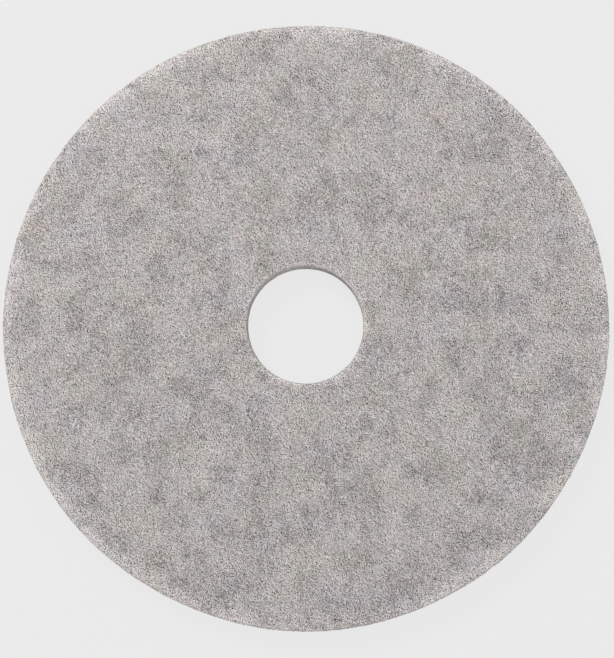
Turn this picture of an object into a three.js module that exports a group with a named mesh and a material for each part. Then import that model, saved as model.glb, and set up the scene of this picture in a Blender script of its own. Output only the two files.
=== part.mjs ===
// Floor polishing pad: one thick disc of springy non-woven fibre web, with a round hole through its centre.
// Units are millimetres. +Z is up along the hole's axis. The origin is the centre of the underside.
import * as THREE from "three";

// Driving dimensions: a 17 inch pad, one inch thick, with the hole that clears a pad driver's centre lock.
const PAD_DIAMETER = 432;
const HOLE_DIAMETER = 83;
const PAD_THICKNESS = 25;

// Die-cut edges. The web is squeezed flat under the cutting die, so each cut wall springs back a little
// hollow, the upper face is drawn down into a soft shoulder, and the underside keeps a crisper edge.
const UPPER_EDGE_RADIUS = 1.4;
const UNDER_EDGE_RADIUS = 0.8;
const RIM_WAIST = 0.6;
const HOLE_WAIST = 0.4;
const SHOULDER_REACH = 10;
const SHOULDER_DROP = 1.5;

// Loft of the web. The pad is pressed level as it cures, and the upper face sinks into shallow hollows where
// the web is thin. The underside lies flat.
const HOLLOW_DEPTH = 0.9;
const HOLLOW_PITCH = 38;
const LEVEL_SHARE = 0.42;

// The soft web creeps sideways in the die, so the cut circles wander from true.
const CUT_WANDER = 0.5;
const WANDER_PITCH = 95;

// Fineness of the mesh
const TURN_STEPS = 120;
const FACE_RINGS = 17;
const SHOULDER_RINGS = 3;
const UNDERSIDE_RINGS = 3;
const WALL_STEPS = 4;
const EDGE_STEPS = 2;

// A fixed number between 0 and 1 for each point of a lattice. The layer picks one of several patterns.
function latticeValue(column, row, layer) {
  const wave = Math.sin(column * 127.1 + row * 311.7 + layer * 74.7) * 43758.5453;
  return wave - Math.floor(wave);
}

// Smooth noise between 0 and 1 over the plane, with one lattice point every pitch.
function smoothNoise(x, y, pitch, layer) {
  const column = Math.floor(x / pitch);
  const row = Math.floor(y / pitch);
  const across = THREE.MathUtils.smootherstep(x / pitch - column, 0, 1);
  const along = THREE.MathUtils.smootherstep(y / pitch - row, 0, 1);
  const near = THREE.MathUtils.lerp(
    latticeValue(column, row, layer),
    latticeValue(column + 1, row, layer),
    across,
  );
  const far = THREE.MathUtils.lerp(
    latticeValue(column, row + 1, layer),
    latticeValue(column + 1, row + 1, layer),
    across,
  );
  return THREE.MathUtils.lerp(near, far, along);
}

// How far the upper face lies below the pressed level at a point: nothing over the level share of the face.
function hollowAt(x, y) {
  const thinness = smoothNoise(x, y, HOLLOW_PITCH, 0);
  return HOLLOW_DEPTH * THREE.MathUtils.smoothstep(thinness, LEVEL_SHARE, 1);
}

// How far the shoulders lie below the pressed level at a distance from the axis: most at the cuts.
function shoulderAt(distance) {
  const fromCut = Math.min(PAD_DIAMETER / 2 - distance, distance - HOLE_DIAMETER / 2);
  const share = THREE.MathUtils.clamp(1 - fromCut / SHOULDER_REACH, 0, 1);
  return SHOULDER_DROP * share ** 2;
}

// Evenly spaced points from one place in the section to another, without the first.
function straight(from, to, steps) {
  return Array.from({ length: steps }, (_, i) => from.clone().lerp(to, (i + 1) / steps));
}

// A quarter round about a centre in the section, from a start angle and turning anticlockwise.
function quarterRound(centre, radius, startAngle) {
  return Array.from({ length: EDGE_STEPS + 1 }, (_, i) => {
    const angle = startAngle + (i / EDGE_STEPS) * (Math.PI / 2);
    return new THREE.Vector2(Math.cos(angle), Math.sin(angle)).multiplyScalar(radius).add(centre);
  });
}

// A cut wall between its two rounded edges, without its ends, hollowed towards the web at mid-thickness.
function waistedWall(from, to, waist) {
  return straight(from, to, WALL_STEPS)
    .slice(0, -1)
    .map((point, i) => {
      const share = (i + 1) / WALL_STEPS;
      return new THREE.Vector2(point.x - waist * Math.sin(Math.PI * share), point.y);
    });
}

// The pad's section as a closed loop of points, radius across and height up, anticlockwise from the underside.
function padSection() {
  const rim = PAD_DIAMETER / 2;
  const hole = HOLE_DIAMETER / 2;
  const top = PAD_THICKNESS;

  const rimUnder = quarterRound(
    new THREE.Vector2(rim - UNDER_EDGE_RADIUS, UNDER_EDGE_RADIUS), UNDER_EDGE_RADIUS, -Math.PI / 2);
  const rimUpper = quarterRound(
    new THREE.Vector2(rim - UPPER_EDGE_RADIUS, top - UPPER_EDGE_RADIUS), UPPER_EDGE_RADIUS, 0);
  const holeUpper = quarterRound(
    new THREE.Vector2(hole + UPPER_EDGE_RADIUS, top - UPPER_EDGE_RADIUS), UPPER_EDGE_RADIUS, Math.PI / 2);
  const holeUnder = quarterRound(
    new THREE.Vector2(hole + UNDER_EDGE_RADIUS, UNDER_EDGE_RADIUS), UNDER_EDGE_RADIUS, Math.PI);
  const rimShoulder = new THREE.Vector2(rim - SHOULDER_REACH, top);
  const holeShoulder = new THREE.Vector2(hole + SHOULDER_REACH, top);

  return [
    ...rimUnder,
    ...waistedWall(rimUnder.at(-1), rimUpper[0], RIM_WAIST),
    ...rimUpper,
    ...straight(rimUpper.at(-1), rimShoulder, SHOULDER_RINGS),
    ...straight(rimShoulder, holeShoulder, FACE_RINGS),
    ...straight(holeShoulder, holeUpper[0], SHOULDER_RINGS).slice(0, -1),
    ...holeUpper,
    ...waistedWall(holeUpper.at(-1), holeUnder[0], -HOLE_WAIST),
    ...holeUnder,
    ...straight(holeUnder.at(-1), rimUnder[0], UNDERSIDE_RINGS),
  ];
}

// Lets the turned disc sink into its hollows and shoulders and its cut edges wander, as the soft web does.
function settleWeb(geometry) {
  const position = geometry.getAttribute("position");
  const point = new THREE.Vector3();
  for (let i = 0; i < position.count; i++) {
    point.fromBufferAttribute(position, i);
    const { x, y } = point;
    point.x += CUT_WANDER * (2 * smoothNoise(x, y, WANDER_PITCH, 1) - 1);
    point.y += CUT_WANDER * (2 * smoothNoise(x, y, WANDER_PITCH, 2) - 1);
    point.z *= 1 - Math.max(hollowAt(x, y), shoulderAt(Math.hypot(x, y))) / PAD_THICKNESS;
    position.setXYZ(i, point.x, point.y, point.z);
  }
}

function makePad() {
  const geometry = new THREE.LatheGeometry(padSection(), TURN_STEPS);
  geometry.rotateX(Math.PI / 2);
  settleWeb(geometry);
  geometry.computeVertexNormals();

  const web = new THREE.MeshStandardMaterial({ color: 0xada8a6, roughness: 1, metalness: 0 });
  const pad = new THREE.Mesh(geometry, web);
  pad.name = "floor_pad";
  return pad;
}

const model = new THREE.Group();
model.add(makePad());

export default model;
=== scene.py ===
import itertools
import math

import bpy
import numpy as np
from mathutils import Matrix, Vector
from mathutils.bvhtree import BVHTree


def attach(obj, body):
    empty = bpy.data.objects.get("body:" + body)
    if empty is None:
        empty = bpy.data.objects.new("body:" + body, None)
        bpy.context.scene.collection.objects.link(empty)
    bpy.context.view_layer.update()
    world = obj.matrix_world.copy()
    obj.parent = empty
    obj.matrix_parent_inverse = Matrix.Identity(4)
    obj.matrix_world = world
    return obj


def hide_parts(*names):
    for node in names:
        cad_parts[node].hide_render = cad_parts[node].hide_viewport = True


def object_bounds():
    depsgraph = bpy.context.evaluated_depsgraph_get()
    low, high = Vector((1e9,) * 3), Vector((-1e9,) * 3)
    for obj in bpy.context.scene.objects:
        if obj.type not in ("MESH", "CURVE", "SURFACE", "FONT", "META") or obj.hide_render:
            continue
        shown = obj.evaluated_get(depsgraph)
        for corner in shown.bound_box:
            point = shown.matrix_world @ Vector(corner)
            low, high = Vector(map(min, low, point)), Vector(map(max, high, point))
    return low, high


MM = 0.001

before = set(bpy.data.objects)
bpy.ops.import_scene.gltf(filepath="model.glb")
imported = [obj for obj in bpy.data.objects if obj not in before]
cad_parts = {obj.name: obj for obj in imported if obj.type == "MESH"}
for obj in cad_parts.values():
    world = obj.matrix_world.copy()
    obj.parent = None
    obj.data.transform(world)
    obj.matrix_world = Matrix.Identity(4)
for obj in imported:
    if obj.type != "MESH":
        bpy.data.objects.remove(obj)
cad_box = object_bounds()

# The disc as the frame gives it
pad_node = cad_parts["floor_pad"]
pad_points = np.array([vertex.co for vertex in pad_node.data.vertices])
reach = np.hypot(pad_points[:, 0], pad_points[:, 1])
RIM_RADIUS = float(reach.max())
HOLE_RADIUS = float(reach.min())
TOP = cad_box[1].z

# Camera: almost straight above the pad, leaning a little towards its lower edge
CAMERA_DISTANCE = 1150 * MM
CAMERA_LEAN = math.radians(3.4)
CAMERA_SIDE = math.radians(-75)
LOOK_AT = Vector((1.2 * MM, -3.0 * MM, TOP))
FOCAL_LENGTH_PIXELS = 1621
PICTURE_HEIGHT_PIXELS = 658
SENSOR_LONG_SIDE = 36

# Web surface: how finely the facets are split, and the lumps that the surface sinks between
SPLITS_PER_FACET = 2
WELD_REACH = 0.01 * MM
LOFT_PITCHES = (11 * MM, 5 * MM)
LOFT_DEPTHS = (0.25 * MM, 0.15 * MM)

# Patches of dark hair: the pitches and shares of the noises that make them, the first one's layer, how much
# flatter than wide they are, the density outside them, and the noise at which a patch starts and the further
# rise to its thickest
HAIR_PATCH_PITCHES = (15 * MM, 4 * MM)
HAIR_PATCH_SHARES = (0.5, 0.5)
HAIR_PATCH_LAYER = 10
HAIR_PATCH_SQUASH = 2
SPARSE_DENSITY = 0.26
PATCH_START = 0.4
PATCH_RISE = 0.35


# Noise that is the same on every run

# A wave that is so steep that its fraction scatters: its phase for a step along each axis and for a layer,
# and its height
SCATTER_STEPS = (127.1, 311.7, 74.7)
SCATTER_LAYER = 19.19
SCATTER_HEIGHT = 43758.5453


def lattice_value(cells, layer):
    """A fixed number from 0 to 1 for each cell of a lattice in space. The layer picks the pattern."""
    wave = np.sin(cells @ np.array(SCATTER_STEPS) + layer * SCATTER_LAYER) * SCATTER_HEIGHT
    return wave - np.floor(wave)


def smooth_noise(points, pitch, layer):
    """Smooth noise from 0 to 1 at points in space, with one lattice point every pitch."""
    cells = np.floor(points / pitch)
    share = points / pitch - cells
    share = share**3 * (share * (share * 6 - 15) + 10)
    total = np.zeros(len(points))
    for corner in itertools.product((0, 1), repeat=3):
        weight = np.prod(np.where(corner, share, 1 - share), axis=1)
        total += weight * lattice_value(cells + corner, layer)
    return total


def hair_density(points):
    """How thickly the dark hairs lie at points of the web, from 0 to 1."""
    flat = points * np.array((1, 1, HAIR_PATCH_SQUASH))
    layers = enumerate(zip(HAIR_PATCH_PITCHES, HAIR_PATCH_SHARES), start=HAIR_PATCH_LAYER)
    mix = sum(share * smooth_noise(flat, pitch, layer) for layer, (pitch, share) in layers)
    return SPARSE_DENSITY + (1 - SPARSE_DENSITY) * np.clip((mix - PATCH_START) / PATCH_RISE, 0, 1)


# Camera, lights and floor

def make_camera():
    """The picture's camera, with its upper edge towards +Y."""
    lean = math.sin(CAMERA_LEAN)
    back = Vector((lean * math.cos(CAMERA_SIDE), lean * math.sin(CAMERA_SIDE), math.cos(CAMERA_LEAN)))
    up = (Vector((0, 1, 0)) - back * back.y).normalized()
    right = up.cross(back)

    lens = bpy.data.cameras.new("camera")
    lens.sensor_width = SENSOR_LONG_SIDE
    lens.lens = FOCAL_LENGTH_PIXELS * SENSOR_LONG_SIDE / PICTURE_HEIGHT_PIXELS
    lens.clip_start = 10 * MM
    camera = bpy.data.objects.new("camera", lens)
    camera.matrix_world = Matrix((right, up, back)).transposed().to_4x4()
    camera.location = LOOK_AT + back * CAMERA_DISTANCE
    bpy.context.scene.collection.objects.link(camera)
    bpy.context.scene.camera = camera


PALE_BACKGROUND = (0.83, 0.83, 0.83, 1)
AMBIENT_STRENGTH = 0.66


def seen_directly(tree):
    """1 where the camera, a mirror or a glass sees the surface, and 0 where it only gives light."""
    path = tree.nodes.new("ShaderNodeLightPath")
    total = path.outputs["Is Camera Ray"]
    for name in ("Is Glossy Ray", "Is Transmission Ray"):
        both = tree.nodes.new("ShaderNodeMath")
        both.operation = "MAXIMUM"
        tree.links.new(total, both.inputs[0])
        tree.links.new(path.outputs[name], both.inputs[1])
        total = both.outputs[0]
    return total


def make_world():
    """Even light from all round, and a pale backdrop where the world itself is seen."""
    world = bpy.data.worlds.new("studio")
    bpy.context.scene.world = world
    world.use_nodes = True
    tree = world.node_tree
    tree.nodes.clear()
    ambient = tree.nodes.new("ShaderNodeBackground")
    ambient.inputs["Strength"].default_value = AMBIENT_STRENGTH
    backdrop = tree.nodes.new("ShaderNodeBackground")
    backdrop.inputs["Color"].default_value = PALE_BACKGROUND
    mix = tree.nodes.new("ShaderNodeMixShader")
    output = tree.nodes.new("ShaderNodeOutputWorld")
    tree.links.new(seen_directly(tree), mix.inputs["Fac"])
    tree.links.new(ambient.outputs[0], mix.inputs[1])
    tree.links.new(backdrop.outputs[0], mix.inputs[2])
    tree.links.new(mix.outputs[0], output.inputs["Surface"])


# Each lamp: where it stands, its side and its power in watts
KEY_PLACE = Vector((-0.9, 1.25, 1.6))
KEY_SIDE = 0.9
KEY_POWER = 27
FILL_PLACE = Vector((1.3, -0.9, 1.5))
FILL_SIDE = 1.4
FILL_POWER = 8


def add_lamp(name, place, side, power):
    """A square lamp that faces the pad."""
    lamp = bpy.data.lights.new(name, "AREA")
    lamp.size = side
    lamp.energy = power
    lamp_object = bpy.data.objects.new(name, lamp)
    lamp_object.location = place
    lamp_object.rotation_euler = place.to_track_quat("Z", "Y").to_euler()
    bpy.context.scene.collection.objects.link(lamp_object)


FLOOR_SIDE = 12
# How much of the floor's tone comes from the light on it, and so shows the pad's shadow
SHADOW_SHARE = 0.08


def make_floor():
    """A floor as pale as the backdrop, a little darker in the pad's shadow."""
    half = FLOOR_SIDE / 2
    corners = [(-half, -half, 0), (half, -half, 0), (half, half, 0), (-half, half, 0)]
    mesh = bpy.data.meshes.new("floor")
    mesh.from_pydata(corners, [], [(0, 1, 2, 3)])
    floor = bpy.data.objects.new("floor", mesh)
    bpy.context.scene.collection.objects.link(floor)

    material = bpy.data.materials.new("pale_floor")
    material.use_nodes = True
    tree = material.node_tree
    tree.nodes.clear()
    matt = tree.nodes.new("ShaderNodeBsdfDiffuse")
    matt.inputs["Color"].default_value = PALE_BACKGROUND
    glow = tree.nodes.new("ShaderNodeEmission")
    glow.inputs["Color"].default_value = PALE_BACKGROUND
    level = tree.nodes.new("ShaderNodeMath")
    level.operation = "MULTIPLY"
    level.inputs[1].default_value = 1 - SHADOW_SHARE
    mix = tree.nodes.new("ShaderNodeMixShader")
    output = tree.nodes.new("ShaderNodeOutputMaterial")
    tree.links.new(seen_directly(tree), level.inputs[0])
    tree.links.new(level.outputs[0], mix.inputs["Fac"])
    tree.links.new(matt.outputs[0], mix.inputs[1])
    tree.links.new(glow.outputs[0], mix.inputs[2])
    tree.links.new(mix.outputs[0], output.inputs["Surface"])
    mesh.materials.append(material)


# Materials

# How far one seed moves a pattern, in millimetres
SEED_STEP = (131.7, -73.1, 57.3)
# Strands: the solid share of their width, and where they fade: the pitch of that as a share of theirs,
# its seeds after theirs, the noise over which a strand comes back, and its strength where it is faded
STRAND_CORE = 0.2
FADE_PITCH = 0.8
FADE_SEEDS = 40
FADE_RANGE = (0.36, 0.52)
FADED = 0.6


class Nodes:
    """A material's node tree, with short calls for the nodes used here. Sizes are in millimetres."""

    def __init__(self, name):
        self.material = bpy.data.materials.new(name)
        self.material.use_nodes = True
        self.tree = self.material.node_tree
        self.shader = self.tree.nodes["Principled BSDF"]
        self.place = self.scale(self.tree.nodes.new("ShaderNodeTexCoord").outputs["Object"], 1 / MM)

    def put(self, value, socket):
        """Links a socket, or sets a constant."""
        if isinstance(value, bpy.types.NodeSocket):
            self.tree.links.new(value, socket)
        else:
            socket.default_value = value

    def work_out(self, node_type, operation, values):
        """A node of the given type that applies an operation to values."""
        node = self.tree.nodes.new(node_type)
        node.operation = operation
        for i, value in enumerate(values):
            self.put(value, node.inputs[i])
        return node

    def math(self, operation, *values):
        """An operation on numbers."""
        return self.work_out("ShaderNodeMath", operation, values).outputs[0]

    def vector(self, operation, *values):
        """An operation on vectors."""
        return self.work_out("ShaderNodeVectorMath", operation, values).outputs["Vector"]

    def length(self, *values):
        """The length of one vector times another."""
        product = self.vector("MULTIPLY", *values)
        return self.work_out("ShaderNodeVectorMath", "LENGTH", (product,)).outputs["Value"]

    def scale(self, value, factor):
        """A vector or a colour times a number."""
        node = self.tree.nodes.new("ShaderNodeVectorMath")
        node.operation = "SCALE"
        self.put(value, node.inputs[0])
        self.put(factor, node.inputs["Scale"])
        return node.outputs["Vector"]

    def moved(self, place, seed):
        """The place moved to another part of a pattern, for each seed a different one."""
        return self.vector("ADD", place, tuple(seed * step for step in SEED_STEP))

    def noise(self, pitch, seed, place=None, output="Fac"):
        """Noise with one lattice point every pitch."""
        node = self.tree.nodes.new("ShaderNodeTexNoise")
        node.inputs["Scale"].default_value = 1 / pitch
        node.inputs["Detail"].default_value = 0
        self.put(self.moved(place or self.place, seed), node.inputs["Vector"])
        return node.outputs[output]

    def cells(self, pitch, seed, place):
        """Distance from the edge of a cell to a place in it, in steps of the pitch."""
        node = self.tree.nodes.new("ShaderNodeTexVoronoi")
        node.feature = "DISTANCE_TO_EDGE"
        node.inputs["Scale"].default_value = 1 / pitch
        self.put(self.moved(place, seed), node.inputs["Vector"])
        return node.outputs["Distance"]

    def ramp(self, value, low, high):
        """0 below low, 1 above high, and smooth between them."""
        node = self.tree.nodes.new("ShaderNodeMapRange")
        node.interpolation_type = "SMOOTHSTEP"
        for name, given in (("Value", value), ("From Min", low), ("From Max", high)):
            self.put(given, node.inputs[name])
        return node.outputs["Result"]

    def mix(self, share, first, second, blend="MIX"):
        """A mix of two colours. The node has several inputs named A and B, so they go by number."""
        node = self.tree.nodes.new("ShaderNodeMix")
        node.data_type = "RGBA"
        node.blend_type = blend
        self.put(share, node.inputs["Factor"])
        self.put(first, node.inputs[6])
        self.put(second, node.inputs[7])
        return node.outputs[2]

    def bump(self, height, strength, distance):
        """Tips the shader's normal by a height from 0 to 1."""
        node = self.tree.nodes.new("ShaderNodeBump")
        node.inputs["Strength"].default_value = strength
        node.inputs["Distance"].default_value = distance * MM
        self.put(height, node.inputs["Height"])
        self.put(node.outputs[0], self.shader.inputs["Normal"])

    def net(self, layers, place):
        """Curling strands that fade in places: 1 where a noise crosses its middle, 0 away from that."""
        total = None
        for seed, pitch, width in layers:
            off_line = self.math("ABSOLUTE", self.math("SUBTRACT", self.noise(pitch, seed, place), 0.5))
            line = self.math("SUBTRACT", 1.0, self.ramp(off_line, width * STRAND_CORE, width))
            whole = self.ramp(self.noise(pitch * FADE_PITCH, seed + FADE_SEEDS, place), *FADE_RANGE)
            strength = self.math("ADD", self.math("MULTIPLY", whole, 1 - FADED), FADED)
            line = self.math("MULTIPLY", line, strength)
            total = line if total is None else self.math("MAXIMUM", total, line)
        return total


# Strands lie flat in the web, so on a cut wall the pattern is flattened by this much
WALL_SQUASH = 2.0
CURL_PITCH = 2.0
CURL_REACH = 0.45
CURL_SEED = 1
# Pores of the web, painted dark as shade deep in the web past the first distance from a cell's edge, and
# closed at the second
PORE_PITCH = 1.05
PORE_RANGE = (0.27, 0.13)
PORE_SEED = 2
# Each net of strands: its seed, its pitch in millimetres, and its width as a step of the noise
PALE_NETS = ((3, 1.0, 0.13), (4, 1.2, 0.12), (5, 1.4, 0.10))
DARK_NETS = ((6, 1.0, 0.10), (7, 1.3, 0.08))
# How far each kind of strand hides what lies below it
PALE_COVER = 0.45
DARK_COVER = 0.68
# Relief: how high the pale strands stand as a share of a pore's depth, that depth in millimetres, and how
# strongly it shows
PALE_RISE = 0.7
WEB_RELIEF = 0.25
WEB_BUMP = 0.7
# Fine grain: the slope of a noise, taken over a short step, with deep troughs and low crests
GRAIN_PITCH = 0.9
GRAIN_SEED = 12
GRAIN_STEP = (0.55, 0.4, 0.2)
GRAIN_DEPTH = 2.1
GRAIN_CREST = 0.05
# The web is painted paler near a cut, as painted light where its edges catch more light. Each range runs
# from where that starts to the cut
RIM_EDGE_LIGHT = (RIM_RADIUS / MM - 16, RIM_RADIUS / MM)
HOLE_EDGE_LIGHT = (HOLE_RADIUS / MM + 6, HOLE_RADIUS / MM)
EDGE_LIGHT_LIFT = 0.25
# Painted shade: the cut walls lose some of that painted light again below their upper edge, over this range
# of heights
PAINTED_SHADE_HEIGHTS = (TOP / MM - 1.5, TOP / MM - 4)
SHADE_PAINTED_ON_WALLS = 0.12

# Colours of the web: the fibres deep in it, painted dark as shade, those below the top ones, the top ones,
# and the hairs
PORE_SHADE = (0.150, 0.144, 0.142, 1)
MID_WEB = (0.664, 0.629, 0.615, 1)
PALE_FIBRE = (0.84, 0.797, 0.779, 1)
DARK_HAIR = (0.060, 0.057, 0.058, 1)
# Tints that drift across the web
ROSE_TINT = (1.045, 0.98, 1.0, 1)
GREEN_TINT = (0.965, 1.02, 1.0, 1)
BLUE_TINT = (0.99, 0.99, 1.065, 1)
STRAW_TINT = (1.01, 1.0, 0.93, 1)
# Each drift: its pitch in millimetres, its seed and the tints it runs between
TINT_DRIFTS = ((11, 9, ROSE_TINT, GREEN_TINT), (26, 10, BLUE_TINT, STRAW_TINT))


def fine_grain(nodes, place):
    """A tone about 1 that speckles the web."""
    aside = nodes.vector("ADD", place, GRAIN_STEP)
    slope = nodes.math("SUBTRACT", *(nodes.noise(GRAIN_PITCH, GRAIN_SEED, spot) for spot in (place, aside)))
    speckle = nodes.math("MINIMUM", nodes.math("MULTIPLY", slope, GRAIN_DEPTH), GRAIN_CREST)
    return nodes.math("ADD", speckle, 1.0)


def cut_light_and_shade(nodes):
    """Painted light and shade: a tone that rises from 1 towards a cut, where the edges catch more light, and
    falls back a little on the cut wall as painted shade.
    """
    from_axis = nodes.length(nodes.place, (1, 1, 0))
    height = nodes.length(nodes.place, (0, 0, 1))
    # Painted light: paler towards the rim and the hole, where the edges catch more light
    edge_lit = nodes.math("MAXIMUM", nodes.ramp(from_axis, *RIM_EDGE_LIGHT), nodes.ramp(from_axis, *HOLE_EDGE_LIGHT))
    lift = nodes.math("ADD", nodes.math("MULTIPLY", edge_lit, EDGE_LIGHT_LIFT), 1.0)
    # Painted shade: darker on the cut walls below their upper edge
    shaded_wall = nodes.ramp(height, *PAINTED_SHADE_HEIGHTS)
    shade = nodes.math("SUBTRACT", 1.0, nodes.math("MULTIPLY", shaded_wall, SHADE_PAINTED_ON_WALLS))
    return nodes.math("MULTIPLY", lift, shade)


def web_material():
    """The web: pores painted dark as shade, pale strands and dark hairs over them, fine grain, painted light
    and shade at the cuts, and tints that drift.
    """
    nodes = Nodes("fibre_web")
    layered = nodes.vector("MULTIPLY", nodes.place, (1, 1, WALL_SQUASH))
    warp = nodes.noise(CURL_PITCH, CURL_SEED, layered, output="Color")
    curled = nodes.vector("ADD", layered, nodes.scale(warp, 2 * CURL_REACH))

    closed = nodes.ramp(nodes.cells(PORE_PITCH, PORE_SEED, curled), *PORE_RANGE)
    pale = nodes.net(PALE_NETS, curled)
    # Painted shade: dark in the pores, as shade deep in the web
    colour = nodes.mix(closed, PORE_SHADE, MID_WEB)
    colour = nodes.mix(nodes.math("MULTIPLY", pale, PALE_COVER), colour, PALE_FIBRE)

    density = nodes.tree.nodes.new("ShaderNodeAttribute")
    density.attribute_name = "hair_density"
    dark = nodes.math("MULTIPLY", nodes.net(DARK_NETS, curled), density.outputs["Fac"])
    colour = nodes.mix(nodes.math("MULTIPLY", dark, DARK_COVER), colour, DARK_HAIR)

    colour = nodes.scale(colour, fine_grain(nodes, curled))
    # Painted light near the cuts, and painted shade on the cut walls
    colour = nodes.scale(colour, cut_light_and_shade(nodes))
    for pitch, seed, first, second in TINT_DRIFTS:
        tint = nodes.mix(nodes.noise(pitch, seed), first, second)
        colour = nodes.mix(1.0, colour, tint, "MULTIPLY")

    nodes.put(colour, nodes.shader.inputs["Base Color"])
    nodes.shader.inputs["Roughness"].default_value = 0.95
    nodes.shader.inputs["Specular IOR Level"].default_value = 0.15
    nodes.shader.inputs["Sheen Weight"].default_value = 0.1
    nodes.shader.inputs["Sheen Roughness"].default_value = 0.6

    nodes.bump(nodes.math("ADD", nodes.math("MULTIPLY", pale, PALE_RISE), closed), WEB_BUMP, WEB_RELIEF)
    return nodes.material


# A loose fibre's tone: how much of it is its own, the rest drifting at this pitch along it
OWN_TONE = 0.7
TONE_PITCH = 6.0
TONE_SEED = 20
# Scales of a fibre: their pitch and height in millimetres, and how strongly they show
SCALE_PITCH = 0.3
SCALE_SEED = 21
SCALE_RELIEF = 0.02
SCALE_BUMP = 0.4


def fibre_material(name, dull, bright, roughness):
    """A fibre of its own tone, between dull and bright, that drifts a little along its length."""
    nodes = Nodes(name)
    own = nodes.tree.nodes.new("ShaderNodeNewGeometry").outputs["Random Per Island"]
    drift = nodes.noise(TONE_PITCH, TONE_SEED)
    own_part = nodes.math("MULTIPLY", own, OWN_TONE)
    tone = nodes.math("ADD", own_part, nodes.math("MULTIPLY", drift, 1 - OWN_TONE))
    nodes.put(nodes.mix(tone, dull, bright), nodes.shader.inputs["Base Color"])
    nodes.shader.inputs["Roughness"].default_value = roughness
    nodes.shader.inputs["Specular IOR Level"].default_value = 0.3
    nodes.bump(nodes.noise(SCALE_PITCH, SCALE_SEED), SCALE_BUMP, SCALE_RELIEF)
    return nodes.material


# The web itself

def split_facets(web):
    """Joins the facets of an object along their edges and splits each into finer ones."""
    whole = web.data
    weld = web.modifiers.new("weld", "WELD")
    weld.merge_threshold = WELD_REACH
    split = web.modifiers.new("split", "SUBSURF")
    split.subdivision_type = "SIMPLE"
    split.levels = SPLITS_PER_FACET
    evaluated = web.evaluated_get(bpy.context.evaluated_depsgraph_get())
    web.data = bpy.data.meshes.new_from_object(evaluated)
    web.modifiers.clear()
    bpy.data.meshes.remove(whole)


def vertex_vectors(mesh, name):
    """The places or the normals of a mesh's vertices, one row each."""
    values = np.empty(len(mesh.vertices) * 3, np.float32)
    mesh.vertices.foreach_get(name, values)
    return values.reshape(-1, 3).astype(float)


def make_web():
    """The disc's surface as fine mesh, sunk a little between the lumps of the loft."""
    web = bpy.data.objects.new("pad_web", pad_node.data.copy())
    bpy.context.scene.collection.objects.link(web)
    split_facets(web)

    fine = web.data
    points = vertex_vectors(fine, "co")
    sink = sum(
        depth * smooth_noise(points, pitch, i)
        for i, (pitch, depth) in enumerate(zip(LOFT_PITCHES, LOFT_DEPTHS))
    )
    points -= vertex_vectors(fine, "normal") * sink[:, None]
    fine.vertices.foreach_set("co", points.astype(np.float32).ravel())
    fine.shade_smooth()

    density = fine.attributes.new("hair_density", "FLOAT", "POINT")
    density.data.foreach_set("value", hair_density(points).astype(np.float32))
    fine.materials.clear()
    fine.materials.append(web_material())
    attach(web, "root")
    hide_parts("floor_pad")
    return web


# Loose fibres on the web's surface

# Where fibres stop short: at the faces' cuts, and at the foot and the upper edge of the walls
CUT_MARGIN = 1.5 * MM
FOOT_MARGIN = 0.8 * MM
UPPER_MARGIN = 2 * MM
# How far from a face the rays start that find it
FACE_AWAY = 5 * MM
WALL_AWAY = 10 * MM


class Face:
    """One face of the pad as a flat map."""

    def __init__(self, low, high, inside, aim):
        """The map's corners, which of its points are on the face, and the ray that finds one in space."""
        self.low = np.array(low)
        self.high = np.array(high)
        self.inside = inside
        self.aim = aim


def disc_face(height, heading):
    """The upper or the under face. The map is the plan."""
    def inside(u, v):
        away = np.hypot(u, v)
        return (away < RIM_RADIUS - CUT_MARGIN) & (away > HOLE_RADIUS + CUT_MARGIN)

    def aim(u, v):
        return Vector((u, v, height)), Vector((0, 0, heading))

    return Face((-RIM_RADIUS, -RIM_RADIUS), (RIM_RADIUS, RIM_RADIUS), inside, aim)


def wall_face(radius, start_radius, heading):
    """The rim or the hole's wall. The map is the way round and the height."""
    def inside(u, v):
        return (v > FOOT_MARGIN) & (v < TOP - UPPER_MARGIN)

    def aim(u, v):
        angle = u / radius
        outward = Vector((math.cos(angle), math.sin(angle), 0))
        return outward * start_radius + Vector((0, 0, v)), outward * heading

    return Face((0, 0), (2 * math.pi * radius, TOP), inside, aim)


UPPER = disc_face(TOP + FACE_AWAY, -1)
UNDER = disc_face(-FACE_AWAY, 1)
RIM = wall_face(RIM_RADIUS, RIM_RADIUS + WALL_AWAY, -1)
HOLE = wall_face(HOLE_RADIUS, 0, 1)


class Kind:
    """A kind of loose fibre: its steps, their length, its radius, a step's turn, and its material."""

    def __init__(self, steps, step, radius, curl, material):
        self.steps = steps
        self.step = step
        self.radius = radius
        self.curl = curl
        self.material = material


TUBE_SIDES = 3
# How much a whole fibre bends one way, as a share of its curl
STEADY_BEND = 0.4
# How far a fibre's radius may lie from its kind's
THINNEST = 0.7
THICKEST = 1.3
# How high above the floor a fibre's middle stays, in radii
FLOOR_CLEARANCE = 1.4


def wander(random, starts, kind):
    """Curling paths over a flat map, each from its own start."""
    turns = random.normal(0, kind.curl, (len(starts), kind.steps))
    bend = random.normal(0, kind.curl * STEADY_BEND, (len(starts), 1))
    angles = random.uniform(0, 2 * math.pi, (len(starts), 1)) + np.cumsum(turns + bend, axis=1)
    moves = kind.step * np.stack((np.cos(angles), np.sin(angles)), axis=2)
    return np.cumsum(np.concatenate((starts[:, None, :], moves), axis=1), axis=1)


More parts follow.
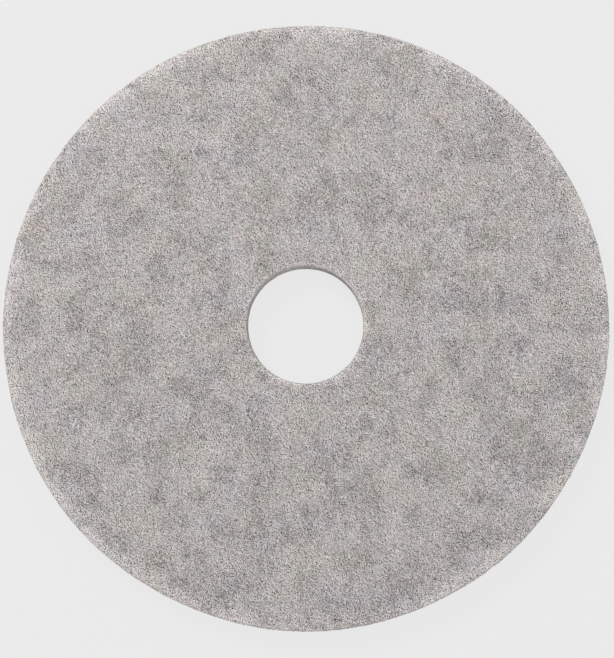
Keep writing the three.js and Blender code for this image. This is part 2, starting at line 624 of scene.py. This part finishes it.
def paths_on(face, random, count, kind, chance):
    """Curling paths that stay on a face. chance, if given, is how likely one is to be kept at a point."""
    kept = []
    while sum(map(len, kept)) < count:
        starts = random.uniform(face.low, face.high, (count, 2))
        paths = wander(random, starts, kind)
        good = face.inside(paths[..., 0], paths[..., 1]).all(axis=1)
        if chance is not None:
            level = np.column_stack((starts, np.full(count, TOP)))
            good &= random.uniform(0, 1, count) < chance(level)
        kept.append(paths[good])
    return np.concatenate(kept)[:count]


def lay(paths, face, surface, heights, radius):
    """Lays flat paths on the web's surface: points in space, and the way out of the surface at each."""
    points = np.empty((*paths.shape[:2], 3))
    outward = np.empty_like(points)
    for i, j in np.ndindex(paths.shape[:2]):
        start, heading = face.aim(*paths[i, j])
        hit, _, _, _ = surface.ray_cast(start, heading)
        points[i, j] = hit - heading * heights[i, j]
        outward[i, j] = -heading
    points[..., 2] = np.maximum(points[..., 2], FLOOR_CLEARANCE * radius)
    return points, outward


def tube_mesh(name, points, outward, radii):
    """Closed three-sided tubes along the paths, as one mesh."""
    along = np.gradient(points, axis=1)
    along /= np.linalg.norm(along, axis=2, keepdims=True)
    side = np.cross(along, outward)
    side /= np.linalg.norm(side, axis=2, keepdims=True)
    up = np.cross(side, along)
    rings = []
    for k in range(TUBE_SIDES):
        angle = 2 * math.pi * k / TUBE_SIDES
        rings.append(points + radii * (math.cos(angle) * up + math.sin(angle) * side))
    corners = np.stack(rings, axis=2)
    fibres, places = points.shape[:2]

    first = np.arange(fibres)[:, None] * places * TUBE_SIDES
    here = first + np.arange(places - 1) * TUBE_SIDES
    quads = []
    for k in range(TUBE_SIDES):
        after = (k + 1) % TUBE_SIDES
        ahead = here + TUBE_SIDES
        quads.append(np.stack((here + k, here + after, ahead + after, ahead + k), axis=2))
    quads = np.stack(quads, axis=2).reshape(-1, 4)
    start_caps = first + np.arange(TUBE_SIDES)[::-1]
    end_caps = first + (places - 1) * TUBE_SIDES + np.arange(TUBE_SIDES)

    mesh = bpy.data.meshes.new(name)
    faces = [*quads.tolist(), *start_caps.tolist(), *end_caps.tolist()]
    mesh.from_pydata(corners.reshape(-1, 3), [], faces)
    mesh.shade_smooth()
    return mesh


def add_fibres(name, surface, face, kind, count, rise, loft, seed, chance):
    """Loose fibres on a face of the web. rise is their mean height over it, loft how far they weave."""
    random = np.random.default_rng(seed)
    paths = paths_on(face, random, count, kind, chance)
    heights = rise + loft * random.uniform(-1, 1, (count, kind.steps + 1))
    points, outward = lay(paths, face, surface, heights, kind.radius)
    radii = kind.radius * random.uniform(THINNEST, THICKEST, (count, 1, 1))
    mesh = tube_mesh(name, points, outward, radii)
    mesh.materials.append(kind.material)
    fibres = bpy.data.objects.new(name, mesh)
    bpy.context.scene.collection.objects.link(fibres)
    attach(fibres, "root")


# Tones that a fibre's own lies between, dull and bright
PALE_TONES = ((0.50, 0.475, 0.46, 1), (0.86, 0.82, 0.80, 1))
HAIR_TONES = ((0.03, 0.029, 0.03, 1), (0.20, 0.19, 0.185, 1))
PALE_ROUGHNESS = 0.6
HAIR_ROUGHNESS = 0.5


def make_fibres(web):
    """All the loose fibres, each piece under 200,000 triangles."""
    bpy.context.view_layer.update()
    surface = BVHTree.FromObject(web, bpy.context.evaluated_depsgraph_get())
    pale = Kind(6, 1.7 * MM, 0.10 * MM, 0.5, fibre_material("pale_fibre", *PALE_TONES, PALE_ROUGHNESS))
    hair = Kind(2, 0.9 * MM, 0.09 * MM, 0.6, fibre_material("dark_hair", *HAIR_TONES, HAIR_ROUGHNESS))
    # Each piece: its name, face, kind, count, rise and loft in millimetres, and where its hairs thicken
    pieces = (
        ("pale_fibres", UPPER, pale, 5000, 0.08, 0.25, None),
        ("dark_hairs_a", UPPER, hair, 7500, 0.06, 0.2, hair_density),
        ("dark_hairs_b", UPPER, hair, 7500, 0.06, 0.2, hair_density),
        ("rim_fibres", RIM, pale, 2200, 0.15, 0.3, None),
        ("rim_hairs", RIM, hair, 1500, 0.1, 0.25, None),
        ("hole_fibres", HOLE, pale, 400, 0.1, 0.25, None),
        ("under_fibres", UNDER, pale, 1000, 0.05, 0.15, None),
        ("under_hairs", UNDER, hair, 1500, 0.05, 0.15, hair_density),
    )
    for seed, (name, face, kind, count, rise, loft, chance) in enumerate(pieces, start=1):
        add_fibres(name, surface, face, kind, count, rise * MM, loft * MM, seed, chance)


bpy.context.scene.view_settings.view_transform = "Standard"
make_camera()
make_world()
add_lamp("key_lamp", KEY_PLACE, KEY_SIDE, KEY_POWER)
add_lamp("fill_lamp", FILL_PLACE, FILL_SIDE, FILL_POWER)
make_floor()
pad_web = make_web()
make_fibres(pad_web)
